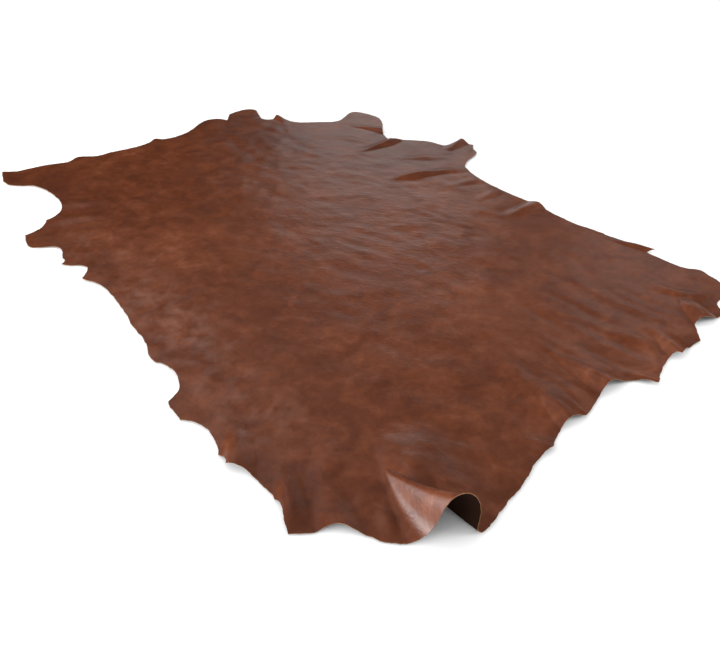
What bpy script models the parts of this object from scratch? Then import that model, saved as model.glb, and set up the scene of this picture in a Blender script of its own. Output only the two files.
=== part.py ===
"""A full leather hide lying grain side up on the floor. Metres, +Z up, the floor at z = 0.

The backbone runs along Y: the shanks and the neck edge are towards +Y, the butt edge towards -Y.
The hide is one solid. Its footprint is cut to an outline of arcs, its inside is filled with a
lattice that is finer near the folds, the sheet is lifted into its folds, and Solidify gives it
the leather's thickness. Away from its folds it lies flat on the floor.
"""

import math

import bmesh
import bpy
import numpy as np
from mathutils import Vector
from mathutils.geometry import delaunay_2d_cdt, interpolate_bezier

NODE = "hide"
COLLECTION = "leather_hide"

THICKNESS = 0.0016

# Mesh sizes: the lattice doubles from its finest spacing up to its coarsest one.
FINEST = 0.010
DOUBLINGS = 3
EDGE_STEP = 0.028
FOLD_SPACING = 0.030
SPREAD = 0.6
CLEAR_OF_EDGE = 0.55
# Each lattice point strays at random by up to half this share of its spacing, so that no three lie
# in a line.
STRAY = 0.12
STRAY_SEED = 17
# What the triangulation gives back: the triangles inside the outline.
TRIANGLES_INSIDE = 1
MERGED_WITHIN = 1e-6

# The outline runs anticlockwise from the left front shank. Each row is a section of the cut edge:
# where it starts, how far its middle bows out past the straight line to the next row (metres,
# negative for a hollow), and whether its start is a sharp tip or runs on smoothly.
TIP = True
RUN = False
LEFT_SHANKS = [
    # place, x, y, bow, sharp
    ("outer shank toe", -0.836, 1.360, 0.000, TIP),
    ("outer shank side", -0.865, 1.258, 0.000, TIP),
    ("outer shank heel", -0.854, 1.201, -0.009, RUN),
    ("outer shank root", -0.775, 1.121, -0.016, RUN),
    ("deepest notch", -0.756, 0.882, -0.020, RUN),
    ("nub", -0.855, 0.797, -0.018, TIP),
    ("inner shank toe", -0.966, 0.734, 0.001, TIP),
    ("inner shank heel", -0.978, 0.630, -0.013, RUN),
    ("inner shank root", -0.901, 0.548, -0.002, RUN),
    ("ragged tab top", -0.920, 0.478, -0.010, TIP),
    ("ragged tab tip", -0.942, 0.438, 0.008, TIP),
    ("ragged tab root", -0.883, 0.378, -0.011, RUN),
    ("small tab", -0.923, 0.302, 0.004, TIP),
]
LEFT_FLANK = [
    ("flank start", -0.903, 0.255, -0.004, RUN),
    ("flank swell", -0.889, 0.112, 0.001, RUN),
    ("flank bump", -0.898, 0.011, -0.003, RUN),
    ("flank dip", -0.912, -0.060, -0.002, RUN),
    ("flank middle", -0.917, -0.148, -0.003, RUN),
    ("flank shelf", -0.934, -0.219, 0.003, RUN),
    ("cove brow", -0.944, -0.286, 0.000, RUN),
    ("cove start", -0.930, -0.309, -0.007, RUN),
    ("cove bottom", -0.939, -0.429, -0.008, RUN),
    ("elbow", -1.000, -0.470, 0.003, TIP),
    ("elbow side", -1.008, -0.505, -0.003, RUN),
    ("elbow heel", -1.012, -0.561, 0.000, TIP),
    ("belly hollow", -0.995, -0.578, -0.021, RUN),
    ("belly nick", -0.999, -0.744, -0.006, TIP),
    ("belly tip", -1.004, -0.792, 0.002, TIP),
    ("lifted belly", -0.978, -0.836, -0.003, RUN),
    ("belly end", -0.968, -0.919, -0.004, RUN),
    ("corner nick", -0.972, -0.963, 0.000, TIP),
    ("corner nib", -0.969, -0.979, -0.004, TIP),
    ("corner side", -0.995, -1.039, 0.000, RUN),
]
BUTT_EDGE = [
    ("left corner", -1.008, -1.071, -0.002, TIP),
    ("left scallop", -0.964, -1.103, -0.005, RUN),
    ("rippled edge", -0.904, -1.131, -0.006, RUN),
    ("ripple end", -0.854, -1.219, 0.000, RUN),
    ("loop left foot", -0.812, -1.272, 0.000, TIP),
    ("loop right foot", -0.6525, -1.364, 0.005, TIP),
    ("right of loop", -0.576, -1.351, 0.002, RUN),
    ("long side", -0.435, -1.321, -0.004, RUN),
    ("first scallop", -0.331, -1.296, 0.000, RUN),
    ("first point", -0.303, -1.300, -0.012, TIP),
    ("second scallop", -0.168, -1.268, 0.002, RUN),
    ("second point", -0.129, -1.278, -0.004, RUN),
    ("lifted corner", 0.005, -1.251, -0.005, RUN),
    ("third scallop", 0.119, -1.292, 0.000, RUN),
    ("third point", 0.143, -1.333, -0.006, TIP),
    ("fourth scallop", 0.280, -1.287, -0.008, RUN),
    ("fourth point", 0.297, -1.311, -0.006, TIP),
    ("fifth point", 0.430, -1.302, 0.000, TIP),
    ("fifth scallop", 0.490, -1.249, -0.009, RUN),
    ("sixth scallop", 0.522, -1.259, 0.000, RUN),
    ("right corner tip", 0.619, -1.279, 0.000, TIP),
    ("right corner nick", 0.654, -1.232, 0.000, TIP),
]
RIGHT_FLANK = [
    ("right corner", 0.763, -1.200, 0.006, RUN),
    ("right corner side", 0.799, -1.136, 0.000, RUN),
    ("right swell", 0.811, -1.083, 0.002, RUN),
    ("right dip", 0.789, -1.051, -0.005, RUN),
    ("under the flap", 0.772, -0.949, 0.000, RUN),
    ("flap root", 0.768, -0.882, 0.000, TIP),
    ("flap tip", 0.792, -0.903, 0.004, TIP),
    ("flap end", 0.751, -0.646, -0.005, RUN),
    ("bump foot", 0.743, -0.430, 0.002, RUN),
    ("bump crown", 0.737, -0.390, 0.003, RUN),
    ("bump back", 0.744, -0.340, -0.002, RUN),
    ("right armpit", 0.740, -0.111, -0.008, RUN),
]
RIGHT_SHANKS = [
    ("inner shank crease", 0.787, 0.060, -0.004, TIP),
    ("inner shank heel", 0.848, 0.101, 0.003, RUN),
    ("inner shank pad", 0.938, 0.133, 0.004, RUN),
    ("inner shank nick", 0.957, 0.172, 0.000, TIP),
    ("inner shank toe", 0.994, 0.206, -0.002, TIP),
    ("inner shank point", 0.978, 0.272, -0.008, TIP),
    ("inner shank back", 0.889, 0.292, 0.008, RUN),
    ("between shanks", 0.842, 0.396, 0.000, RUN),
    ("pleat foot", 0.770, 0.474, 0.000, RUN),
    ("pleat mouth", 0.722, 0.482, 0.000, TIP),
    ("middle lobe root", 0.759, 0.590, 0.021, RUN),
    ("middle lobe side", 0.870, 0.800, -0.009, RUN),
    ("middle lobe top", 0.826, 0.902, 0.000, RUN),
    ("middle lobe nick", 0.740, 0.879, -0.019, TIP),
    ("inner hollow", 0.646, 0.876, -0.010, RUN),
    ("outer hollow", 0.501, 1.014, 0.010, RUN),
    ("small spike", 0.472, 1.095, -0.020, TIP),
    ("outer shank root", 0.406, 1.127, -0.002, RUN),
    ("outer shank side", 0.438, 1.287, -0.004, RUN),
    ("outer shank top", 0.365, 1.305, 0.000, RUN),
    ("outer shank corner", 0.312, 1.295, 0.000, TIP),
    ("outer shank cleft", 0.259, 1.229, 0.000, TIP),
]
NECK_EDGE = [
    ("neck swell", 0.224, 1.288, 0.013, RUN),
    ("neck hollow", 0.045, 1.234, -0.009, RUN),
    ("neck dip", -0.109, 1.221, 0.000, RUN),
    ("neck wave", -0.137, 1.250, 0.000, RUN),
    ("neck wave end", -0.186, 1.228, 0.004, RUN),
    ("neck second wave", -0.281, 1.225, 0.018, RUN),
    ("neck slope", -0.400, 1.246, 0.000, RUN),
    ("neck bulge", -0.462, 1.262, 0.032, RUN),
    ("neck shoulder", -0.548, 1.281, -0.002, RUN),
    ("neck to shank", -0.613, 1.290, 0.012, RUN),
    ("outer shank back", -0.762, 1.322, -0.003, RUN),
]
OUTLINE = LEFT_SHANKS + LEFT_FLANK + BUTT_EDGE + RIGHT_FLANK + RIGHT_SHANKS + NECK_EDGE

# Soft folds. Fullest is the share of the way in at which the ridge is highest: 0 where it meets the
# edge. Left and right are its two half widths, seen from the edge looking in.
FOLDS = [
    # fold, edge x, edge y, inner x, inner y, height, left, right, fullest
    ("left belly lift", -0.985, -0.800, -0.880, -0.650, 0.020, 0.045, 0.060, 0.0),
    ("left corner roll", -0.960, -1.010, -0.880, -0.870, 0.014, 0.040, 0.050, 0.0),
    ("butt edge ripple", -0.905, -1.140, -0.840, -1.000, 0.016, 0.060, 0.060, 0.0),
    ("first ridge", -0.310, -1.305, -0.340, -1.190, 0.012, 0.040, 0.050, 0.0),
    ("second ridge", -0.185, -1.262, -0.110, -1.060, 0.022, 0.045, 0.070, 0.0),
    ("lifted corner", 0.010, -1.255, 0.020, -1.030, 0.030, 0.045, 0.085, 0.0),
    ("thin ridge", 0.150, -1.330, 0.095, -1.200, 0.010, 0.025, 0.030, 0.0),
    ("fourth ridge", 0.302, -1.310, 0.385, -1.120, 0.028, 0.035, 0.075, 0.0),
    ("fifth ridge", 0.526, -1.250, 0.615, -1.100, 0.030, 0.035, 0.070, 0.0),
    ("flap roll", 0.793, -0.905, 0.735, -0.690, 0.012, 0.020, 0.030, 0.0),
    ("right bump", 0.740, -0.398, 0.530, -0.365, 0.023, 0.040, 0.062, 0.0),
    ("armpit pleat", 0.790, 0.045, 0.425, 0.186, 0.017, 0.034, 0.050, 0.66),
    ("shank roll", 0.978, 0.262, 0.820, 0.236, 0.018, 0.036, 0.056, 0.0),
    ("pleat", 0.716, 0.484, 0.500, 0.494, 0.018, 0.034, 0.044, 0.0),
    ("middle lobe fold", 0.775, 0.608, 0.690, 0.790, 0.014, 0.026, 0.046, 0.0),
    ("spike lift", 0.475, 1.100, 0.465, 0.990, 0.016, 0.030, 0.030, 0.0),
    ("loop swell", -0.705, -1.262, -0.582, -0.939, 0.029, 0.100, 0.200, 0.45),
]
FOLD_TAPER = 0.35

# The standing loop at the butt edge: a leaning wave of leather over a tunnel that narrows and
# sinks to nothing inwards. Its mouth is the stretch of cut edge between its feet.
LOOP_LEFT_FOOT = (-0.812, -1.272)
LOOP_RIGHT_FOOT = (-0.6525, -1.364)
LOOP_APEX = (-0.694, -1.051)
# How far the leather leans inwards over the mouth, as a share of its height.
LOOP_LEAN = 0.10
# How fast the loop sinks towards its apex, as a power of the share of the way back to its mouth.
LOOP_DECAY = 1.75
# How fast the loop softens towards its apex, as another power of the same share.
LOOP_SOFTENING = 0.8
# The leather's slope on its way over the mouth, in degrees.
LOOP_SLOPES = [
    # share of the way over, slope
    (0.00, 0.0),
    (0.10, 28.0),
    (0.18, 48.0),
    (0.26, 66.0),
    (0.34, 66.0),
    (0.42, 58.0),
    (0.49, 42.0),
    (0.55, 12.0),
    (0.61, -35.0),
    (0.68, -64.0),
    (0.75, -79.0),
    (0.83, -100.0),
    (0.90, -100.0),
    (0.96, -89.0),
    (1.00, 0.0),
]
LOOP_SAMPLES = 161

LEATHER_COLOUR = (0.136, 0.047, 0.023, 1.0)
LEATHER_ROUGHNESS = 0.42


def clear_scene():
    for obj in list(bpy.data.objects):
        bpy.data.objects.remove(obj, do_unlink=True)


def stretches(rows):
    """Each section of the edge as a Bezier: its two ends and their handles, which follow an arc."""
    points = [Vector((x, y)) for _, x, y, _, _ in rows]
    leaving, arriving, reach = [], [], []
    for i, (_, _, _, bow, _) in enumerate(rows):
        chord = points[(i + 1) % len(rows)] - points[i]
        turn = 2.0 * math.atan2(2.0 * bow, chord.length)
        leaving.append(rotated(chord.normalized(), -turn))
        arriving.append(rotated(chord.normalized(), turn))
        reach.append(chord.length / 3.0 * (1.0 + (2.0 * bow / chord.length) ** 2))
    for i, (_, _, _, _, sharp) in enumerate(rows):
        if not sharp:
            smooth = (arriving[i - 1] + leaving[i]).normalized()
            arriving[i - 1] = smooth
            leaving[i] = smooth
    found = []
    for i, start in enumerate(points):
        end = points[(i + 1) % len(rows)]
        found.append((start, start + leaving[i] * reach[i], end - arriving[i] * reach[i], end))
    return found


def rotated(direction, angle):
    c, s = math.cos(angle), math.sin(angle)
    return Vector((c * direction.x - s * direction.y, s * direction.x + c * direction.y))


def outline_points(rows):
    """The cut edge as a closed polygon, stepped finely where a fold is near."""
    points = []
    for start, handle_a, handle_b, end in stretches(rows):
        middle = (start + end) / 2.0
        step = min(EDGE_STEP, float(spacing_at(np.array([middle]))[0]))
        count = max(1, round((end - start).length / step))
        points += interpolate_bezier(start, handle_a, handle_b, end, count + 1)[:-1]
    return np.array([(p.x, p.y) for p in points])


def along_and_across(points, edge, inner):
    """Distances along a fold from its edge end, and across it, positive on its left side."""
    edge = np.array(edge)
    direction = np.array(inner) - edge
    length = float(np.hypot(*direction))
    direction = direction / length
    offset = points - edge
    along = offset @ direction
    across = offset @ np.array((-direction[1], direction[0]))
    return along, across, length


def spacing_at(points):
    """The lattice spacing wanted at each point, from how far the loop and the folds are."""
    out, over = loop_shares(points)
    corners = np.array((LOOP_APEX, LOOP_LEFT_FOOT, LOOP_RIGHT_FOOT))
    away = np.where((out > 0.0) & (over > 0.0) & (over < 1.0), 0.0, distance_to_edge(points, corners))
    wanted = FINEST + SPREAD * away
    for _, edge_x, edge_y, inner_x, inner_y, _, left, right, _ in FOLDS:
        along, across, length = along_and_across(points, (edge_x, edge_y), (inner_x, inner_y))
        beside = np.maximum(across - left, -right - across).clip(0.0)
        past = np.maximum(along - length, 0.0) + np.maximum(-along - left, 0.0)
        wanted = np.minimum(wanted, FOLD_SPACING + SPREAD * np.hypot(beside, past))
    return wanted


def inside(points, polygon):
    """Whether each point lies in the polygon, by the even-odd rule."""
    x, y = points[:, 0:1], points[:, 1:2]
    ax, ay = polygon[:, 0], polygon[:, 1]
    bx, by = np.roll(ax, -1), np.roll(ay, -1)
    straddles = (ay > y) != (by > y)
    rise = np.where(by == ay, 1.0, by - ay)
    crossing = ax + (y - ay) / rise * (bx - ax)
    return (np.count_nonzero(straddles & (x < crossing), axis=1) % 2) == 1


def lattice_points(polygon):
    """Triangular lattice points inside the outline: every point of the finest lattice near the
    loop, and every second, fourth or eighth one as the folds get further away."""
    low, high = polygon.min(axis=0), polygon.max(axis=0)
    row_height = FINEST * math.sqrt(3.0) / 2.0
    rows = np.arange(math.floor(low[1] / row_height), math.ceil(high[1] / row_height) + 1)
    half = math.ceil((high[0] - low[0]) / FINEST)
    columns = np.arange(-half, half + 1)
    i, j = (grid.ravel() for grid in np.meshgrid(columns, rows))
    points = np.stack(((i + 0.5 * j) * FINEST, j * row_height), axis=1)
    wanted = spacing_at(points)
    spacing = FINEST * 2.0 ** np.clip(np.floor(np.log2(wanted / FINEST)), 0, DOUBLINGS)
    stride = np.round(spacing / FINEST).astype(int)
    kept = (i % stride == 0) & (j % stride == 0)
    kept &= np.all((points > low) & (points < high), axis=1)
    points, spacing = points[kept], spacing[kept]
    stray = np.random.default_rng(STRAY_SEED).random(points.shape) - 0.5
    points = points + STRAY * spacing[:, None] * stray
    clear = distance_to_edge(points, polygon) > CLEAR_OF_EDGE * np.minimum(spacing, EDGE_STEP)
    return points[clear & inside(points, polygon)]


def distance_to_edge(points, polygon):
    """The distance from each point to the nearest side of the polygon."""
    side = np.roll(polygon, -1, axis=0) - polygon
    offset = points[:, None, :] - polygon[None, :, :]
    share = ((offset * side).sum(axis=2) / (side * side).sum(axis=1)).clip(0.0, 1.0)
    return np.hypot(*(offset - share[:, :, None] * side).transpose(2, 0, 1)).min(axis=1)


def ridge_height(points, fold):
    """How far one soft fold lifts each point."""
    _, edge_x, edge_y, inner_x, inner_y, height, left, right, fullest = fold
    along, across, length = along_and_across(points, (edge_x, edge_y), (inner_x, inner_y))
    crown = fullest * length
    before = (crown - along) / max(crown, left + right)
    after = (along - crown) / (length - crown)
    away = np.maximum(before, after).clip(0.0, 1.0)
    fade = 1.0 - away * away * (3.0 - 2.0 * away)
    width = np.where(across > 0.0, left, right) * (1.0 - FOLD_TAPER * np.clip(along / length, 0.0, 1.0))
    bump = np.clip(1.0 - (across / width) ** 2, 0.0, 1.0) ** 2
    return height * fade * bump


def loop_rim():
    """The rim over the loop's mouth from foot to foot, as shares of the mouth's width: how far
    over each sample lies, and how high."""
    shares, slopes = zip(*LOOP_SLOPES)
    slope = np.radians(np.interp(np.linspace(0.0, 1.0, LOOP_SAMPLES), shares, slopes))
    slope = (slope[1:] + slope[:-1]) / 2.0
    over = np.concatenate(([0.0], np.cumsum(np.cos(slope))))
    height = np.concatenate(([0.0], np.cumsum(np.sin(slope))))
    height -= height[-1] * np.linspace(0.0, 1.0, LOOP_SAMPLES)
    return over / over[-1], height / over[-1]


def loop_shares(points):
    """How far from the loop's apex to its mouth each point lies, and how far over it from the
    left foot, both as shares."""
    apex, left, right = (np.array(place) for place in (LOOP_APEX, LOOP_LEFT_FOOT, LOOP_RIGHT_FOOT))
    out, over = ((points - apex) @ np.linalg.inv(np.array((left - apex, right - left)))).T
    return out, over / np.where(out > 0.0, out, 1.0)


def looped(points, lift):
    """Carries the points over the standing loop: their new places, and their lift."""
    out, over = loop_shares(points)
    on = (out > 0.0) & (over > 0.0) & (over < 1.0)
    level, crisp, over = out[on] ** LOOP_DECAY, out[on] ** LOOP_SOFTENING, over[on]
    mouth = np.array(LOOP_RIGHT_FOOT) - np.array(LOOP_LEFT_FOOT)
    rim_over, rim_height = loop_rim()
    samples = np.linspace(0.0, 1.0, LOOP_SAMPLES)
    sideways = level * crisp * (np.interp(over, samples, rim_over) - over)
    soft = rim_height.max() * np.sin(math.pi * over) ** 2
    height = crisp * np.interp(over, samples, rim_height) + (1.0 - crisp) * soft
    height *= level * np.hypot(*mouth)
    points, lift = points.copy(), lift.copy()
    points[on] += sideways[:, None] * mouth
    points[on, 1] += LOOP_LEAN * height
    lift[on] += height
    return points, lift


def folded(points):
    """The underside of the leather above each point of the footprint."""
    lift = np.zeros(len(points))
    for fold in FOLDS:
        lift += ridge_height(points, fold)
    points, lift = looped(points, lift)
    return np.column_stack((points, lift))


def hide_mesh():
    """The folded underside as one open sheet of triangles, facing up."""
    polygon = outline_points(OUTLINE)
    flat = np.concatenate((polygon, lattice_points(polygon)))
    verts, _, faces, _, _, _ = delaunay_2d_cdt(
        [Vector(p) for p in flat], [], [list(range(len(polygon)))], TRIANGLES_INSIDE, MERGED_WITHIN
    )
    places = folded(np.array([(v.x, v.y) for v in verts]))
    mesh = bpy.data.meshes.new(NODE)
    mesh.from_pydata(places.tolist(), [], [list(f) for f in faces])
    sheet = bmesh.new()
    sheet.from_mesh(mesh)
    loose = [v for v in sheet.verts if not v.link_faces]
    bmesh.ops.delete(sheet, geom=loose, context="VERTS")
    bmesh.ops.recalc_face_normals(sheet, faces=sheet.faces)
    if sum(f.normal.z * f.calc_area() for f in sheet.faces) < 0.0:
        bmesh.ops.reverse_faces(sheet, faces=sheet.faces)
    sheet.to_mesh(mesh)
    sheet.free()
    return mesh


def leather():
    material = bpy.data.materials.new("pull_up_leather")
    material.use_nodes = True
    shader = material.node_tree.nodes["Principled BSDF"]
    shader.inputs["Base Color"].default_value = LEATHER_COLOUR
    shader.inputs["Roughness"].default_value = LEATHER_ROUGHNESS
    shader.inputs["Metallic"].default_value = 0.0
    return material


def add_hide(collection):
    mesh = hide_mesh()
    mesh.materials.append(leather())
    hide = bpy.data.objects.new(NODE, mesh)
    collection.objects.link(hide)
    solid = hide.modifiers.new("leather thickness", "SOLIDIFY")
    solid.thickness = THICKNESS
    solid.offset = 1.0
    solid.use_even_offset = False
    mesh.shade_smooth()
    return hide


def main():
    clear_scene()
    collection = bpy.data.collections.new(COLLECTION)
    bpy.context.scene.collection.children.link(collection)
    add_hide(collection)


main()
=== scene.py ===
"""A full leather hide lying grain side up on a pale studio floor.

Metres, +Z up, the floor at z = 0. The backbone runs along Y: the shanks and the neck edge are
towards +Y, the butt edge towards -Y. The sheet is cut to its outline, lifted into its folds, waves
and wrinkles, and given the leather's thickness. Its flesh side and cut edge are finished by where
each point lay before it was folded.
"""

import math

import bpy
import numpy as np
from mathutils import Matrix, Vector
from mathutils.geometry import delaunay_2d_cdt, interpolate_bezier


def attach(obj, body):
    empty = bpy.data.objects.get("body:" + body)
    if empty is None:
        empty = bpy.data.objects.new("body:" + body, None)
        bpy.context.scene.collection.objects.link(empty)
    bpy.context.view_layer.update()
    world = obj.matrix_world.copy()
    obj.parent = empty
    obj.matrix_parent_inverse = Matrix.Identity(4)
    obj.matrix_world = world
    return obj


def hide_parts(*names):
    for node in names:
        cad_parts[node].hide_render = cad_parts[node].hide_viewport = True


HIDE_NODE = "hide"
BODY = "root"

THICKNESS = 0.0016

# Mesh sizes: the lattice doubles from its finest spacing away from the loop and the folds.
FINEST = 0.003
DOUBLINGS = 2
# The spacing on the folds, and by how much it widens for each metre away from them and the loop.
FOLD_SPACING = 0.0075
SPREAD = 0.32
# The longest step along the cut edge.
EDGE_STEP = 0.007
# How near to the edge a lattice point may lie, as a share of its spacing.
CLEAR_OF_EDGE = 0.55
# Each lattice point strays at random by up to half this share of its spacing, so that no three lie
# in a line.
STRAY = 0.12
STRAY_SEED = 17
# The triangulation gives back the triangles inside the outline, and merges points as near as this.
TRIANGLES_INSIDE = 1
MERGED_WITHIN = 1e-6
# How many points are measured against the outline at a time.
BATCH = 2000
# Edges that bend by more than this many degrees are shaded sharp.
SHARP_ANGLE = 55.0

# The outline runs anticlockwise from the left front shank. Each row is a section of the cut edge:
# where it starts, how far its middle bows out past the straight line to the next row (metres,
# negative for a hollow), and whether its start is a sharp tip or runs on smoothly.
TIP = True
RUN = False
LEFT_SHANKS = [
    # place, x, y, bow, sharp
    ("outer shank toe", -0.836, 1.360, 0.000, TIP),
    ("outer shank side", -0.865, 1.258, 0.000, TIP),
    ("outer shank heel", -0.854, 1.201, -0.009, RUN),
    ("outer shank root", -0.775, 1.121, -0.016, RUN),
    ("deepest notch", -0.756, 0.882, -0.020, RUN),
    ("nub", -0.855, 0.797, -0.018, TIP),
    ("inner shank toe", -0.966, 0.734, 0.001, TIP),
    ("inner shank heel", -0.978, 0.630, -0.013, RUN),
    ("inner shank root", -0.901, 0.548, -0.002, RUN),
    ("ragged tab top", -0.920, 0.478, -0.010, TIP),
    ("ragged tab tip", -0.942, 0.438, 0.008, TIP),
    ("ragged tab root", -0.883, 0.378, -0.011, RUN),
    ("small tab", -0.923, 0.302, 0.004, TIP),
]
LEFT_FLANK = [
    ("flank start", -0.903, 0.255, -0.004, RUN),
    ("flank swell", -0.889, 0.112, 0.001, RUN),
    ("flank bump", -0.898, 0.011, -0.003, RUN),
    ("flank dip", -0.912, -0.060, -0.002, RUN),
    ("flank middle", -0.917, -0.148, -0.003, RUN),
    ("flank shelf", -0.934, -0.219, 0.003, RUN),
    ("cove brow", -0.944, -0.286, 0.000, RUN),
    ("cove start", -0.930, -0.309, -0.007, RUN),
    ("cove bottom", -0.939, -0.429, -0.008, RUN),
    ("elbow", -1.000, -0.470, 0.003, TIP),
    ("elbow side", -1.008, -0.505, -0.003, RUN),
    ("elbow heel", -1.012, -0.561, 0.000, TIP),
    ("belly hollow", -0.995, -0.578, -0.021, RUN),
    ("belly nick", -0.999, -0.744, -0.006, TIP),
    ("belly tip", -1.004, -0.792, 0.002, TIP),
    ("lifted belly", -0.978, -0.836, -0.003, RUN),
    ("belly end", -0.968, -0.919, -0.004, RUN),
    ("corner nick", -0.972, -0.963, 0.000, TIP),
    ("corner nib", -0.969, -0.979, -0.004, TIP),
    ("corner side", -0.995, -1.039, 0.000, RUN),
]
BUTT_EDGE = [
    ("left corner", -1.008, -1.071, -0.002, TIP),
    ("left scallop", -0.964, -1.103, -0.005, RUN),
    ("rippled edge", -0.904, -1.131, -0.006, RUN),
    ("ripple end", -0.854, -1.219, 0.000, RUN),
    ("loop left foot", -0.812, -1.272, 0.000, TIP),
    ("loop right foot", -0.6525, -1.364, 0.005, TIP),
    ("right of loop", -0.576, -1.351, 0.002, RUN),
    ("long side", -0.435, -1.321, -0.004, RUN),
    ("first scallop", -0.331, -1.296, 0.000, RUN),
    ("first point", -0.303, -1.300, -0.012, TIP),
    ("second scallop", -0.168, -1.268, 0.002, RUN),
    ("second point", -0.129, -1.278, -0.004, RUN),
    ("lifted corner", 0.005, -1.251, -0.005, RUN),
    ("third scallop", 0.119, -1.292, 0.000, RUN),
    ("third point", 0.143, -1.333, -0.006, TIP),
    ("fourth scallop", 0.280, -1.287, -0.008, RUN),
    ("fourth point", 0.297, -1.311, -0.006, TIP),
    ("fifth point", 0.430, -1.302, 0.000, TIP),
    ("fifth scallop", 0.490, -1.249, -0.009, RUN),
    ("sixth scallop", 0.522, -1.259, 0.000, RUN),
    ("right corner tip", 0.619, -1.279, 0.000, TIP),
    ("right corner nick", 0.654, -1.232, 0.000, TIP),
]
RIGHT_FLANK = [
    ("right corner", 0.763, -1.200, 0.006, RUN),
    ("right corner side", 0.799, -1.136, 0.000, RUN),
    ("right swell", 0.811, -1.083, 0.002, RUN),
    ("right dip", 0.789, -1.051, -0.005, RUN),
    ("under the flap", 0.772, -0.949, 0.000, RUN),
    ("flap root", 0.768, -0.882, 0.000, TIP),
    ("flap tip", 0.792, -0.903, 0.004, TIP),
    ("flap end", 0.751, -0.646, -0.005, RUN),
    ("bump foot", 0.743, -0.430, 0.002, RUN),
    ("bump crown", 0.737, -0.390, 0.003, RUN),
    ("bump back", 0.744, -0.340, -0.002, RUN),
    ("right armpit", 0.740, -0.111, -0.008, RUN),
]
RIGHT_SHANKS = [
    ("inner shank crease", 0.787, 0.060, -0.004, TIP),
    ("inner shank heel", 0.848, 0.101, 0.003, RUN),
    ("inner shank pad", 0.938, 0.133, 0.004, RUN),
    ("inner shank nick", 0.957, 0.172, 0.000, TIP),
    ("inner shank toe", 0.994, 0.206, -0.002, TIP),
    ("inner shank point", 0.978, 0.272, -0.008, TIP),
    ("inner shank back", 0.889, 0.292, 0.008, RUN),
    ("between shanks", 0.842, 0.396, 0.000, RUN),
    ("pleat foot", 0.770, 0.474, 0.000, RUN),
    ("pleat mouth", 0.722, 0.482, 0.000, TIP),
    ("middle lobe root", 0.759, 0.590, 0.021, RUN),
    ("middle lobe side", 0.870, 0.800, -0.009, RUN),
    ("middle lobe top", 0.826, 0.902, 0.000, RUN),
    ("middle lobe nick", 0.740, 0.879, -0.019, TIP),
    ("inner hollow", 0.646, 0.876, -0.010, RUN),
    ("outer hollow", 0.501, 1.014, 0.010, RUN),
    ("small spike", 0.472, 1.095, -0.020, TIP),
    ("outer shank root", 0.406, 1.127, -0.002, RUN),
    ("outer shank side", 0.438, 1.287, -0.004, RUN),
    ("outer shank top", 0.365, 1.305, 0.000, RUN),
    ("outer shank corner", 0.312, 1.295, 0.000, TIP),
    ("outer shank cleft", 0.259, 1.229, 0.000, TIP),
]
NECK_EDGE = [
    ("neck swell", 0.224, 1.288, 0.013, RUN),
    ("neck hollow", 0.045, 1.234, -0.009, RUN),
    ("neck dip", -0.109, 1.221, 0.000, RUN),
    ("neck wave", -0.137, 1.250, 0.000, RUN),
    ("neck wave end", -0.186, 1.228, 0.004, RUN),
    ("neck second wave", -0.281, 1.225, 0.018, RUN),
    ("neck slope", -0.400, 1.246, 0.000, RUN),
    ("neck bulge", -0.462, 1.262, 0.032, RUN),
    ("neck shoulder", -0.548, 1.281, -0.002, RUN),
    ("neck to shank", -0.613, 1.290, 0.012, RUN),
    ("outer shank back", -0.762, 1.322, -0.003, RUN),
]
OUTLINE = LEFT_SHANKS + LEFT_FLANK + BUTT_EDGE + RIGHT_FLANK + RIGHT_SHANKS + NECK_EDGE

# Soft folds. Fullest is the share of the way in at which the ridge is highest: 0 where it meets the
# edge. Left and right are its two half widths, seen from the edge looking in.
FOLDS = [
    # fold, edge x, edge y, inner x, inner y, height, left, right, fullest
    ("left belly lift", -0.985, -0.800, -0.880, -0.650, 0.020, 0.045, 0.060, 0.0),
    ("left corner roll", -0.960, -1.010, -0.880, -0.870, 0.014, 0.040, 0.050, 0.0),
    ("butt edge ripple", -0.905, -1.140, -0.840, -1.000, 0.016, 0.060, 0.060, 0.0),
    ("first ridge", -0.310, -1.305, -0.340, -1.190, 0.012, 0.040, 0.050, 0.0),
    ("second ridge", -0.185, -1.262, -0.110, -1.060, 0.022, 0.045, 0.070, 0.0),
    ("lifted corner", 0.010, -1.255, 0.020, -1.030, 0.030, 0.045, 0.085, 0.0),
    ("thin ridge", 0.150, -1.330, 0.095, -1.200, 0.010, 0.025, 0.030, 0.0),
    ("fourth ridge", 0.302, -1.310, 0.385, -1.120, 0.028, 0.035, 0.075, 0.0),
    ("fifth ridge", 0.526, -1.250, 0.615, -1.100, 0.030, 0.035, 0.070, 0.0),
    ("flap roll", 0.793, -0.905, 0.735, -0.690, 0.012, 0.020, 0.030, 0.0),
    ("right bump", 0.740, -0.398, 0.530, -0.365, 0.023, 0.040, 0.062, 0.0),
    ("armpit pleat", 0.790, 0.045, 0.425, 0.186, 0.017, 0.034, 0.050, 0.66),
    ("shank roll", 0.978, 0.262, 0.820, 0.236, 0.018, 0.036, 0.056, 0.0),
    ("pleat", 0.716, 0.484, 0.500, 0.494, 0.018, 0.034, 0.044, 0.0),
    ("middle lobe fold", 0.775, 0.608, 0.690, 0.790, 0.014, 0.026, 0.046, 0.0),
    ("spike lift", 0.475, 1.100, 0.465, 0.990, 0.016, 0.030, 0.030, 0.0),
    ("loop swell", -0.705, -1.262, -0.582, -0.939, 0.029, 0.100, 0.200, 0.45),
]
# The folds narrow by this share on their way in.
FOLD_TAPER = 0.35

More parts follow.
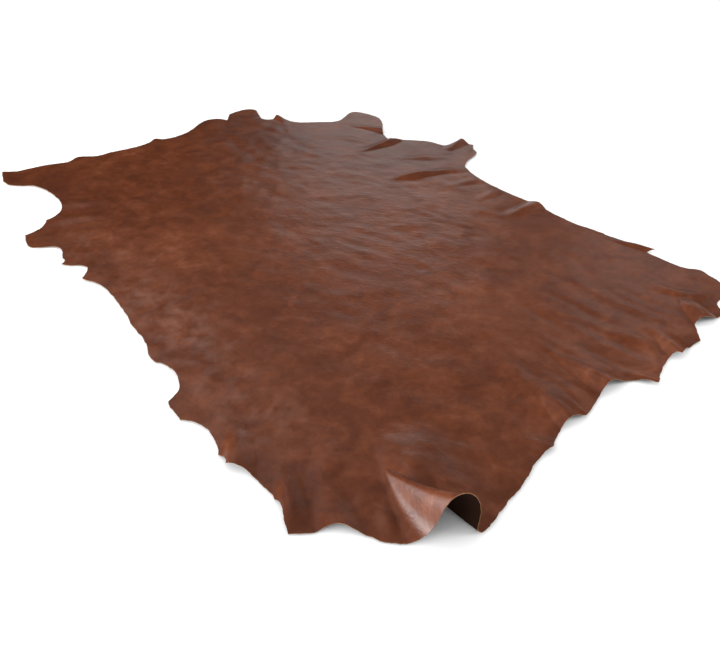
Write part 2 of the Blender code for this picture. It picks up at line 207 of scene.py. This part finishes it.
# The standing loop at the butt edge: a leaning wave of leather over a tunnel that narrows and
# sinks to nothing inwards. Its mouth is the stretch of cut edge between its feet.
LOOP_LEFT_FOOT = (-0.812, -1.272)
LOOP_RIGHT_FOOT = (-0.6525, -1.364)
LOOP_APEX = (-0.694, -1.051)
# How far the leather leans inwards over the mouth, as a share of its height.
LOOP_LEAN = 0.10
# How fast the loop sinks towards its apex, as a power of the share of the way back to its mouth.
LOOP_DECAY = 1.75
# How fast the loop softens towards its apex, as another power of the same share.
LOOP_SOFTENING = 0.8
# The leather's slope on its way over the mouth, in degrees.
LOOP_SLOPES = [
    # share of the way over, slope
    (0.00, 0.0),
    (0.10, 28.0),
    (0.18, 48.0),
    (0.26, 66.0),
    (0.34, 66.0),
    (0.42, 58.0),
    (0.49, 42.0),
    (0.55, 12.0),
    (0.61, -35.0),
    (0.68, -64.0),
    (0.75, -79.0),
    (0.83, -100.0),
    (0.90, -100.0),
    (0.96, -89.0),
    (1.00, 0.0),
]
# How many points the way over the mouth is worked out at.
LOOP_SAMPLES = 161

# Soft waves that show by their shine more than by their height. Most die out at both ends.
WAVES = [
    # wave, start x, start y, end x, end y, height, left, right, fullest
    ("shank wave", 0.675, 0.470, 0.530, 0.740, 0.004, 0.040, 0.050, 0.5),
    ("neck wave", 0.290, 0.760, 0.390, 0.480, 0.002, 0.035, 0.035, 0.5),
    ("inner shank wave", 0.850, 0.140, 0.560, 0.380, 0.004, 0.034, 0.042, 0.5),
    ("inner shank ripple", 0.900, 0.190, 0.640, 0.300, 0.003, 0.026, 0.034, 0.4),
    ("notch wave", -0.770, 0.885, -0.500, 0.760, 0.008, 0.050, 0.060, 0.1),
    ("nub wave", -0.860, 0.780, -0.560, 0.640, 0.006, 0.050, 0.050, 0.2),
    ("flank wave", 0.730, -0.065, 0.560, -0.020, 0.005, 0.035, 0.045, 0.3),
    ("flank dart", 0.745, -0.205, 0.560, -0.195, 0.006, 0.030, 0.045, 0.4),
    ("butt wave", -0.690, -0.930, -0.400, -1.250, 0.004, 0.045, 0.055, 0.5),
    ("belly bump", -0.860, -1.010, -0.730, -0.880, 0.009, 0.060, 0.060, 0.5),
    ("belly ripple", -0.900, -0.500, -0.800, -0.380, 0.003, 0.050, 0.050, 0.5),
    ("corner crease", 0.640, -1.170, 0.560, -0.980, 0.008, 0.035, 0.045, 0.2),
    ("butt pull", 0.300, -1.270, 0.180, -0.800, 0.006, 0.040, 0.050, 0.2),
    ("butt pull", 0.080, -1.270, 0.060, -0.780, 0.005, 0.045, 0.050, 0.2),
    ("butt pull", -0.200, -1.260, -0.090, -0.840, 0.006, 0.050, 0.050, 0.2),
    ("loop flank ripple", -0.880, -1.150, -0.750, -1.080, 0.005, 0.040, 0.050, 0.6),
    ("loop flank ripple", -0.830, -1.250, -0.770, -1.130, 0.006, 0.035, 0.030, 0.5),
]

# Small unevenness of the whole sheet: soft noise of these wavelengths and heights, drawn out in
# one direction, in degrees from +X.
UNEVEN = [
    # name, along, across, direction, height, seed, area
    ("slow swell", 0.260, 0.260, 0.0, 0.0042, 3, "all"),
    ("dimpling", 0.110, 0.080, -70.0, 0.0028, 5, "all"),
    ("long wrinkles", 0.260, 0.062, -78.0, 0.0022, 8, "slack"),
    ("crossed wrinkles", 0.200, 0.054, -28.0, 0.0017, 11, "slack"),
    ("butt streaks", 0.340, 0.052, -92.0, 0.0062, 13, "butt"),
]
# The soft noise repeats after this many of its cells.
NOISE_GRID = 64
# The wrinkles wander sideways by this much over this distance.
WANDER = 0.070
WANDER_WAVELENGTH = 0.500
WANDER_SEED = 31

# The knife left the cut edge wandering by this much.
RAGGED = [
    # wavelength, reach, seed
    (0.034, 0.0018, 21),
    (0.012, 0.0009, 22),
]

# Soft round areas of the hide, and how fast they fade away from their middles.
AREA_FADE = 1.5
AREAS = {
    # Slack and wrinkled leather.
    "slack": [
        # area, x, y, radius x, radius y, strength
        ("neck", 0.15, 0.75, 0.75, 0.55, 0.8),
        ("right half", 0.45, -0.10, 0.50, 0.60, 0.9),
        ("middle", 0.05, -0.15, 0.40, 0.40, 0.9),
    ],
    # Leather pulled into ripples by the lifted butt edge.
    "butt": [
        ("right end", 0.30, -1.10, 0.50, 0.40, 1.0),
    ],
    # Where the pulled-up dye turns rusty (positive) or the colour is darker (negative), partly
    # painted shade.
    "tone_and_shade": [
        ("middle of the butt", 0.00, -0.70, 0.28, 0.22, 0.4),
        ("left shoulder", -0.60, 0.28, 0.24, 0.20, 0.4),
        ("neck edge", -0.37, 1.19, 0.16, 0.10, 0.5),
        ("butt ruffles", 0.28, -1.22, 0.22, 0.10, 0.6),
        ("left shank", -0.75, 1.10, 0.40, 0.35, -0.3),
        ("left foot of the loop", -0.86, -1.18, 0.14, 0.08, 0.4),
        # Painted shade: the turned-down left corner and the lifted right edge are darkened as if
        # shaded.
        ("left corner", -0.93, -1.02, 0.13, 0.26, -0.6),
        ("right edge", 0.80, -0.72, 0.06, 0.24, -0.8),
        ("right shank", 0.75, 0.42, 0.34, 0.34, -0.7),
        ("right of the neck", 0.38, 0.90, 0.26, 0.36, -0.6),
    ],
    # Where dry wax bloom greys the dye.
    "bloom": [
        ("left flank", -0.80, -0.15, 0.16, 0.50, 1.0),
        ("belly", -0.85, -0.70, 0.14, 0.20, 0.6),
        ("inner shank", -0.85, 0.55, 0.14, 0.12, 0.5),
    ],
}

# The dye is cloudy: soft noise of these wavelengths, in metres, adds up to a place on the ramp of
# its colours, and the tone and painted shade of the areas add their share.
DYE_CLOUDS = [
    # wavelength, share of the whole, detail, distortion
    (0.320, 0.22, 3.0, 0.6),
    (0.085, 0.45, 3.0, 0.8),
    (0.024, 0.26, 3.0, 0.4),
]
TONE_AND_SHADE_SHARE = 0.22
DYE_COLOURS = [
    # place on the ramp, colour
    (0.30, "4C200A"),
    (0.45, "5A290E"),
    (0.55, "653116"),
    (0.70, "774229"),
]

# Wax bloom covers at most this share of the dye. It lies in flecks of about this size, in metres,
# where their noise rises from faint to full.
BLOOM_COLOUR = "87695F"
BLOOM_SHARE = 0.30
BLOOM_FLECKS = 0.055
BLOOM_FAINT = 0.42
BLOOM_FULL = 0.68
BLOOM_DETAIL = 6.0
BLOOM_DISTORTION = 0.3

# The grain's relief, in metres, drawn out in one direction, in degrees from +X.
GRAIN_RELIEF = [
    # relief, along, across, direction, height, detail, distortion, in slack areas only
    ("fine wrinkles", 0.080, 0.022, -55.0, 0.0016, 4.0, 0.8, True),
    ("dimples", 0.020, 0.016, -70.0, 0.00105, 4.0, 0.5, False),
    ("pores", 0.003, 0.003, 0.0, 0.00013, 2.0, 0.0, False),
]
GRAIN_ROUGHNESS = 0.38
GRAIN_IOR = 1.5

# Bare fibres: the shaved flesh side is dyed through and matt, and its near-black colour is partly
# painted shade for the dark inside of the loop's tunnel; the raw cut edge is undyed and lighter.
# The sizes are those of the tufts, in metres.
BARE_SIDES = [
    # material, tuft, detail, roughness, shine, darkest, lightest
    ("flesh_side_and_painted_tunnel_shade", 0.003, 4.0, 0.90, 0.05, "140904", "241109"),
    ("raw_cut_leather_edge", 0.006, 3.0, 0.85, 0.20, "5E3D26", "A27C58"),
]

# The camera stands at the butt's left corner and looks down along the hide.
CAMERA_PLACE = (-1.6005, -2.0432, 1.47)
CAMERA_PITCH = 37.0
CAMERA_HEADING = 40.0
CAMERA_LENS = 37.5
SENSOR_WIDTH = 36.0

FLOOR_SIZE = 30.0
FLOOR_COLOUR = "F4F4F4"
FLOOR_ROUGHNESS = 0.9
FLOOR_SHINE = 0.1
# The floor lies this little below the leather, so that their faces don't coincide.
FLOOR_DROP = 0.0004
ROOM_LIGHT = 0.95
SOFTBOXES = [
    # softbox, x, y, z, width, height, watts
    ("backdrop_strip", 3.9, 4.0, 2.1, 2.5, 0.8, 23.0),
    ("side_softbox", 3.1, 0.3, 1.6, 1.2, 2.0, 5.5),
    ("overhead_softbox", -0.2, 1.8, 3.0, 1.0, 2.8, 9.5),
    ("low_softbox", -2.9, 3.5, 0.7, 2.0, 1.2, 32.0),
    ("side_panel", -5.1, 1.4, 1.0, 5.0, 1.9, 440.0),
    ("fill_softbox", 3.0, -4.0, 2.0, 2.0, 1.5, 110.0),
]
AIMED_AT = (0.0, 0.0, 0.0)


def stretches(rows):
    """Each section of the edge as a Bezier: its two ends and their handles, which follow an arc."""
    points = [Vector((x, y)) for _, x, y, _, _ in rows]
    leaving, arriving, reach = [], [], []
    for i, (_, _, _, bow, _) in enumerate(rows):
        chord = points[(i + 1) % len(rows)] - points[i]
        turn = 2.0 * math.atan2(2.0 * bow, chord.length)
        leaving.append(rotated(chord.normalized(), -turn))
        arriving.append(rotated(chord.normalized(), turn))
        reach.append(chord.length / 3.0 * (1.0 + (2.0 * bow / chord.length) ** 2))
    for i, (_, _, _, _, sharp) in enumerate(rows):
        if not sharp:
            smooth = (arriving[i - 1] + leaving[i]).normalized()
            arriving[i - 1] = smooth
            leaving[i] = smooth
    found = []
    for i, start in enumerate(points):
        end = points[(i + 1) % len(rows)]
        found.append((start, start + leaving[i] * reach[i], end - arriving[i] * reach[i], end))
    return found


def rotated(direction, angle):
    """A direction turned anticlockwise by an angle in radians."""
    c, s = math.cos(angle), math.sin(angle)
    return Vector((c * direction.x - s * direction.y, s * direction.x + c * direction.y))


def outline_points(rows):
    """The cut edge as a closed polygon, finely stepped, with the knife's small wandering."""
    points = []
    for start, handle_a, handle_b, end in stretches(rows):
        middle = (start + end) / 2.0
        step = min(EDGE_STEP, float(spacing_at(np.array([middle]))[0]))
        count = max(1, round((end - start).length / step))
        points += interpolate_bezier(start, handle_a, handle_b, end, count + 1)[:-1]
    points = np.array([(p.x, p.y) for p in points])
    along = np.roll(points, -1, axis=0) - np.roll(points, 1, axis=0)
    outwards = np.column_stack((along[:, 1], -along[:, 0])) / np.hypot(*along.T)[:, None]
    for wavelength, reach, seed in RAGGED:
        strayed = 2.0 * soft_noise(points, wavelength, seed) - 1.0
        points = points + outwards * reach * strayed[:, None]
    return points


def eased(share):
    """A share that runs from 0 to 1 with no slope at either end."""
    return share * share * (3.0 - 2.0 * share)


def soft_noise(points, wavelength, seed):
    """Smooth noise from 0 to 1 over the plan, of about this wavelength."""
    grid = np.random.default_rng(seed).random((NOISE_GRID, NOISE_GRID))
    place = points / (wavelength / 2.0)
    cell = np.floor(place).astype(int)
    share = place - cell
    share = eased(share)
    column, row = cell[:, 0] % NOISE_GRID, cell[:, 1] % NOISE_GRID
    next_column, next_row = (column + 1) % NOISE_GRID, (row + 1) % NOISE_GRID
    near = grid[row, column] * (1.0 - share[:, 0]) + grid[row, next_column] * share[:, 0]
    far = grid[next_row, column] * (1.0 - share[:, 0]) + grid[next_row, next_column] * share[:, 0]
    return near * (1.0 - share[:, 1]) + far * share[:, 1]


def along_and_across(points, edge, inner):
    """Distances along a fold from its edge end, and across it, positive on its left side."""
    edge = np.array(edge)
    direction = np.array(inner) - edge
    length = float(np.hypot(*direction))
    direction = direction / length
    offset = points - edge
    along = offset @ direction
    across = offset @ np.array((-direction[1], direction[0]))
    return along, across, length


def spacing_at(points):
    """The lattice spacing wanted at each point, from how far the loop and the folds are."""
    out, over = loop_shares(points)
    corners = np.array((LOOP_APEX, LOOP_LEFT_FOOT, LOOP_RIGHT_FOOT))
    on_loop = (out > 0.0) & (over > 0.0) & (over < 1.0)
    away = np.where(on_loop, 0.0, distance_to_edge(points, corners))
    wanted = FINEST + SPREAD * away
    for _, edge_x, edge_y, inner_x, inner_y, _, left, right, _ in FOLDS:
        along, across, length = along_and_across(points, (edge_x, edge_y), (inner_x, inner_y))
        beside = np.maximum(across - left, -right - across).clip(0.0)
        past = np.maximum(along - length, 0.0) + np.maximum(-along - left, 0.0)
        wanted = np.minimum(wanted, FOLD_SPACING + SPREAD * np.hypot(beside, past))
    return wanted


def inside(points, polygon):
    """Whether each point lies in the polygon, by the even-odd rule."""
    x, y = points[:, 0:1], points[:, 1:2]
    ax, ay = polygon[:, 0], polygon[:, 1]
    bx, by = np.roll(ax, -1), np.roll(ay, -1)
    straddles = (ay > y) != (by > y)
    rise = np.where(by == ay, 1.0, by - ay)
    crossing = ax + (y - ay) / rise * (bx - ax)
    return (np.count_nonzero(straddles & (x < crossing), axis=1) % 2) == 1


def lattice_points(polygon):
    """Triangular lattice points inside the outline: every point of the finest lattice near the
    loop, and every second or fourth one further away."""
    low, high = polygon.min(axis=0), polygon.max(axis=0)
    row_height = FINEST * math.sqrt(3.0) / 2.0
    rows = np.arange(math.floor(low[1] / row_height), math.ceil(high[1] / row_height) + 1)
    half = math.ceil((high[0] - low[0]) / FINEST)
    columns = np.arange(-half, half + 1)
    i, j = (grid.ravel() for grid in np.meshgrid(columns, rows))
    points = np.stack(((i + 0.5 * j) * FINEST, j * row_height), axis=1)
    near = np.all((points > low) & (points < high), axis=1)
    i, j, points = i[near], j[near], points[near]
    wanted = spacing_at(points)
    spacing = FINEST * 2.0 ** np.clip(np.floor(np.log2(wanted / FINEST)), 0, DOUBLINGS)
    stride = np.round(spacing / FINEST).astype(int)
    kept = (i % stride == 0) & (j % stride == 0)
    points, spacing = points[kept], spacing[kept]
    stray = np.random.default_rng(STRAY_SEED).random(points.shape) - 0.5
    points = points + STRAY * spacing[:, None] * stray
    found = []
    for first in range(0, len(points), BATCH):
        batch = points[first : first + BATCH]
        room = CLEAR_OF_EDGE * np.minimum(spacing[first : first + BATCH], EDGE_STEP)
        clear = distance_to_edge(batch, polygon) > room
        found.append(batch[clear & inside(batch, polygon)])
    return np.concatenate(found)


def distance_to_edge(points, polygon):
    """The distance from each point to the nearest side of the polygon."""
    side = np.roll(polygon, -1, axis=0) - polygon
    offset = points[:, None, :] - polygon[None, :, :]
    share = ((offset * side).sum(axis=2) / (side * side).sum(axis=1)).clip(0.0, 1.0)
    return np.hypot(*(offset - share[:, :, None] * side).transpose(2, 0, 1)).min(axis=1)


def ridge_height(points, fold):
    """How far one soft fold lifts each point."""
    _, edge_x, edge_y, inner_x, inner_y, height, left, right, fullest = fold
    along, across, length = along_and_across(points, (edge_x, edge_y), (inner_x, inner_y))
    crown = fullest * length
    before = (crown - along) / max(crown, left + right)
    after = (along - crown) / (length - crown)
    away = np.maximum(before, after).clip(0.0, 1.0)
    fade = 1.0 - eased(away)
    taper = 1.0 - FOLD_TAPER * np.clip(along / length, 0.0, 1.0)
    width = np.where(across > 0.0, left, right) * taper
    bump = np.clip(1.0 - (across / width) ** 2, 0.0, 1.0) ** 2
    return height * fade * bump


def loop_rim():
    """The rim over the loop's mouth from foot to foot, as shares of the mouth's width: how far
    over each sample lies, and how high."""
    shares, slopes = zip(*LOOP_SLOPES)
    slope = np.radians(np.interp(np.linspace(0.0, 1.0, LOOP_SAMPLES), shares, slopes))
    slope = (slope[1:] + slope[:-1]) / 2.0
    over = np.concatenate(([0.0], np.cumsum(np.cos(slope))))
    height = np.concatenate(([0.0], np.cumsum(np.sin(slope))))
    height -= height[-1] * np.linspace(0.0, 1.0, LOOP_SAMPLES)
    return over / over[-1], height / over[-1]


def loop_shares(points):
    """How far from the loop's apex to its mouth each point lies, and how far over it from the
    left foot, both as shares."""
    apex, left, right = (np.array(place) for place in (LOOP_APEX, LOOP_LEFT_FOOT, LOOP_RIGHT_FOOT))
    out, over = ((points - apex) @ np.linalg.inv(np.array((left - apex, right - left)))).T
    return out, over / np.where(out > 0.0, out, 1.0)


def looped(points, lift):
    """Carries the points over the standing loop: their new places, and their lift."""
    out, over = loop_shares(points)
    on = (out > 0.0) & (over > 0.0) & (over < 1.0)
    level, crisp, over = out[on] ** LOOP_DECAY, out[on] ** LOOP_SOFTENING, over[on]
    mouth = np.array(LOOP_RIGHT_FOOT) - np.array(LOOP_LEFT_FOOT)
    rim_over, rim_height = loop_rim()
    samples = np.linspace(0.0, 1.0, LOOP_SAMPLES)
    sideways = level * crisp * (np.interp(over, samples, rim_over) - over)
    soft = rim_height.max() * np.sin(math.pi * over) ** 2
    height = crisp * np.interp(over, samples, rim_height) + (1.0 - crisp) * soft
    height *= level * np.hypot(*mouth)
    points, lift = points.copy(), lift.copy()
    points[on] += sideways[:, None] * mouth
    points[on, 1] += LOOP_LEAN * height
    lift[on] += height
    return points, lift


def area_strength(points, areas):
    """How strongly each point belongs to soft round areas of the hide."""
    total = np.zeros(len(points))
    for _, x, y, radius_x, radius_y, strength in areas:
        away = ((points[:, 0] - x) / radius_x) ** 2 + ((points[:, 1] - y) / radius_y) ** 2
        total += strength * np.exp(-AREA_FADE * away)
    return total


def wrinkled(points):
    """How far the sheet's small unevenness lifts each point."""
    wander = [soft_noise(points, WANDER_WAVELENGTH, WANDER_SEED + k) - 0.5 for k in range(2)]
    wandered = points + WANDER * np.column_stack(wander)
    lift = np.zeros(len(points))
    for _, along, across, direction, height, seed, area in UNEVEN:
        c, s = math.cos(math.radians(direction)), math.sin(math.radians(direction))
        place = wandered @ np.array(((c, -s), (s, c))) / (along, across)
        strength = area_strength(points, AREAS[area]).clip(0.0, 1.0) if area in AREAS else 1.0
        lift += height * strength * soft_noise(place, 1.0, seed)
    return lift


def folded(points):
    """The underside of the leather above each point of the footprint."""
    lift = wrinkled(points)
    for fold in FOLDS + WAVES:
        lift += ridge_height(points, fold)
    points, lift = looped(points, lift)
    return np.column_stack((points, lift))


def hide_sheet():
    """The folded underside as one open sheet of triangles, facing up. Each point keeps its flat
    place and its strength in each of the areas."""
    polygon = outline_points(OUTLINE)
    flat = np.concatenate((polygon, lattice_points(polygon)))
    verts, _, faces, _, _, _ = delaunay_2d_cdt(
        [Vector(p) for p in flat], [], [list(range(len(polygon)))], TRIANGLES_INSIDE, MERGED_WITHIN
    )
    flat = np.array([(v.x, v.y) for v in verts])
    faces = np.array([list(f) for f in faces])
    used, faces = np.unique(faces, return_inverse=True)
    flat, faces = flat[used], faces.reshape(-1, 3)
    corners = flat[faces]
    turn = np.cross(corners[:, 1] - corners[:, 0], corners[:, 2] - corners[:, 0])
    faces[turn < 0.0] = faces[turn < 0.0][:, ::-1]
    mesh = bpy.data.meshes.new("leather_hide")
    mesh.from_pydata(folded(flat).tolist(), [], faces.tolist())
    place = mesh.attributes.new("flat_place", "FLOAT_VECTOR", "POINT")
    flat_places = np.column_stack((flat, np.zeros(len(flat)))).astype(np.float32)
    place.data.foreach_set("vector", flat_places.ravel())
    for name, areas in AREAS.items():
        strength = mesh.attributes.new(name, "FLOAT", "POINT")
        strength.data.foreach_set("value", area_strength(flat, areas).astype(np.float32))
    return mesh


def add_node(tree, kind, inputs, **settings):
    """Adds a shader node: its settings are its properties, and each input takes a number, a
    colour, or another node's output."""
    node = tree.nodes.new("ShaderNode" + kind)
    for name, value in settings.items():
        setattr(node, name, value)
    for name, value in inputs.items():
        if isinstance(value, bpy.types.NodeSocket):
            tree.links.new(value, node.inputs[name])
        else:
            node.inputs[name].default_value = value
    return node


def linear(colour):
    """An sRGB hex colour as linear red, green, blue and alpha."""
    channels = [int(colour[i : i + 2], 16) / 255.0 for i in (0, 2, 4)]
    return [c / 12.92 if c <= 0.04045 else ((c + 0.055) / 1.055) ** 2.4 for c in channels] + [1.0]


def new_material(name):
    material = bpy.data.materials.new(name)
    material.use_nodes = True
    return material, material.node_tree, material.node_tree.nodes["Principled BSDF"]


def colour_stops(ramp, rows):
    """Gives a colour ramp its places and colours."""
    stops = ramp.color_ramp.elements
    while len(stops) < len(rows):
        stops.new(0.5)
    for stop, (position, colour) in zip(stops, rows):
        stop.position = position
        stop.color = linear(colour)


def grain_side():
    """Waxed pull-up leather, drum-dyed: the dye clouds over and pulls up lighter where the hide
    was stretched, the wax leaves a soft satin shine, and dry wax blooms grey on the flank. Painted
    shade darkens the dye at the turned-down left corner and the lifted right edge."""
    material, tree, shader = new_material("waxed_pull_up_leather_grain")
    place = add_node(tree, "TexCoord", {}).outputs["Object"]
    slack, tone_and_shade, bloom = (
        add_node(tree, "Attribute", {}, attribute_name=name).outputs["Fac"]
        for name in ("slack", "tone_and_shade", "bloom")
    )
    # This attribute carries the rusty dye and also the painted shade of the left corner and right
    # edge.
    total = add_node(tree, "Math", {0: tone_and_shade, 1: TONE_AND_SHADE_SHARE}, operation="MULTIPLY").outputs["Value"]
    for wavelength, share, detail, distortion in DYE_CLOUDS:
        cloud = add_node(
            tree, "TexNoise",
            {
                "Vector": place,
                "Scale": 1.0 / wavelength,
                "Detail": detail,
                "Distortion": distortion,
            },
        )
        clouded = add_node(
            tree, "Math", {0: cloud.outputs["Fac"], 1: share, 2: total}, operation="MULTIPLY_ADD"
        )
        total = clouded.outputs["Value"]
    dye = add_node(tree, "ValToRGB", {"Fac": total})
    colour_stops(dye, DYE_COLOURS)
    flecks = add_node(
        tree, "TexNoise",
        {
            "Vector": place,
            "Scale": 1.0 / BLOOM_FLECKS,
            "Detail": BLOOM_DETAIL,
            "Distortion": BLOOM_DISTORTION,
        },
    )
    faded = add_node(
        tree, "MapRange",
        {
            "Value": flecks.outputs["Fac"],
            "From Min": BLOOM_FAINT,
            "From Max": BLOOM_FULL,
            "To Max": BLOOM_SHARE,
        },
    )
    bloomed = add_node(
        tree, "Math", {0: faded.outputs["Result"], 1: bloom}, operation="MULTIPLY", use_clamp=True
    )
    # The colour sockets of a Mix node have no names of their own: 6 and 7 go in, and 2 comes out.
    mixed = add_node(
        tree, "Mix",
        {0: bloomed.outputs["Value"], 6: dye.outputs["Color"], 7: linear(BLOOM_COLOUR)},
        data_type="RGBA",
    )
    tree.links.new(mixed.outputs[2], shader.inputs["Base Color"])
    normal = None
    for _, along, across, direction, height, detail, distortion, slack_only in GRAIN_RELIEF:
        turned = add_node(
            tree, "Mapping",
            {
                "Vector": place,
                "Rotation": (0.0, 0.0, math.radians(direction)),
                "Scale": (along, across, across),
            },
            vector_type="TEXTURE",
        )
        relief = add_node(
            tree, "TexNoise",
            {
                "Vector": turned.outputs["Vector"],
                "Scale": 1.0,
                "Detail": detail,
                "Distortion": distortion,
            },
        )
        bump = add_node(
            tree, "Bump",
            {
                "Height": relief.outputs["Fac"],
                "Distance": height,
                "Strength": slack if slack_only else 1.0,
            },
        )
        if normal is not None:
            tree.links.new(normal, bump.inputs["Normal"])
        normal = bump.outputs["Normal"]
    tree.links.new(normal, shader.inputs["Normal"])
    shader.inputs["Roughness"].default_value = GRAIN_ROUGHNESS
    shader.inputs["IOR"].default_value = GRAIN_IOR
    return material


def bare_side(name, tuft, detail, roughness, shine, darkest, lightest):
    """A side of the leather without its grain: matt fibres in small tufts."""
    material, tree, shader = new_material(name)
    place = add_node(tree, "Attribute", {}, attribute_name="flat_place").outputs["Vector"]
    fibres = add_node(tree, "TexNoise", {"Vector": place, "Scale": 1.0 / tuft, "Detail": detail})
    ramp = add_node(tree, "ValToRGB", {"Fac": fibres.outputs["Fac"]})
    colour_stops(ramp, [(0.0, darkest), (1.0, lightest)])
    tree.links.new(ramp.outputs["Color"], shader.inputs["Base Color"])
    shader.inputs["Roughness"].default_value = roughness
    shader.inputs["Specular IOR Level"].default_value = shine
    return material


def add_hide():
    mesh = hide_sheet()
    mesh.materials.append(grain_side())
    for row in BARE_SIDES:
        mesh.materials.append(bare_side(*row))
    hide = bpy.data.objects.new("leather_hide", mesh)
    bpy.context.scene.collection.objects.link(hide)
    solid = hide.modifiers.new("leather thickness", "SOLIDIFY")
    solid.thickness = THICKNESS
    solid.offset = 1.0
    solid.use_even_offset = False
    solid.material_offset = 1
    solid.material_offset_rim = 2
    evaluated = hide.evaluated_get(bpy.context.evaluated_depsgraph_get())
    finished = bpy.data.meshes.new_from_object(evaluated)
    hide.modifiers.clear()
    hide.data = finished
    finished.name = "leather_hide"
    finished.shade_smooth()
    finished.set_sharp_from_angle(angle=math.radians(SHARP_ANGLE))
    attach(hide, BODY)
    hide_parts(HIDE_NODE)
    return hide


def add_floor():
    half = FLOOR_SIZE / 2.0
    mesh = bpy.data.meshes.new("studio_floor")
    corners = [(-half, -half), (half, -half), (half, half), (-half, half)]
    mesh.from_pydata([(x, y, -FLOOR_DROP) for x, y in corners], [], [(0, 1, 2, 3)])
    floor = bpy.data.objects.new("studio_floor", mesh)
    bpy.context.scene.collection.objects.link(floor)
    material, _, shader = new_material("matt_white_studio_floor")
    shader.inputs["Base Color"].default_value = linear(FLOOR_COLOUR)
    shader.inputs["Roughness"].default_value = FLOOR_ROUGHNESS
    shader.inputs["Specular IOR Level"].default_value = FLOOR_SHINE
    mesh.materials.append(material)
    return floor


def add_lights():
    world = bpy.data.worlds.new("studio_room")
    world.use_nodes = True
    world.node_tree.nodes["Background"].inputs["Color"].default_value = (1.0, 1.0, 1.0, 1.0)
    world.node_tree.nodes["Background"].inputs["Strength"].default_value = ROOM_LIGHT
    bpy.context.scene.world = world
    world.cycles_visibility.glossy = False
    for name, x, y, z, width, height, watts in SOFTBOXES:
        lamp = bpy.data.lights.new(name, "AREA")
        lamp.shape = "RECTANGLE"
        lamp.size, lamp.size_y, lamp.energy = width, height, watts
        light = bpy.data.objects.new(name, lamp)
        light.location = (x, y, z)
        aim = Vector(AIMED_AT) - light.location
        light.rotation_euler = aim.to_track_quat("-Z", "Y").to_euler()
        bpy.context.scene.collection.objects.link(light)


def add_camera():
    camera = bpy.data.objects.new("camera", bpy.data.cameras.new("camera"))
    camera.data.lens = CAMERA_LENS
    camera.data.sensor_width = SENSOR_WIDTH
    camera.location = CAMERA_PLACE
    camera.rotation_euler = (math.radians(90.0 - CAMERA_PITCH), 0.0, -math.radians(CAMERA_HEADING))
    bpy.context.scene.collection.objects.link(camera)
    bpy.context.scene.camera = camera


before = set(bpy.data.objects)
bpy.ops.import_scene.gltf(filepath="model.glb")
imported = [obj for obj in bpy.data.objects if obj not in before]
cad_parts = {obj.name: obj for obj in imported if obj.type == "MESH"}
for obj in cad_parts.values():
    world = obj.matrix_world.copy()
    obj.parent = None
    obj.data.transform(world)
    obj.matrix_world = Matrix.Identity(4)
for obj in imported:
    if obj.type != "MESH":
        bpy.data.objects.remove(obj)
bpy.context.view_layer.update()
bpy.context.scene.view_settings.view_transform = "Standard"
add_camera()
floor = add_floor()
add_lights()
hide = add_hide()
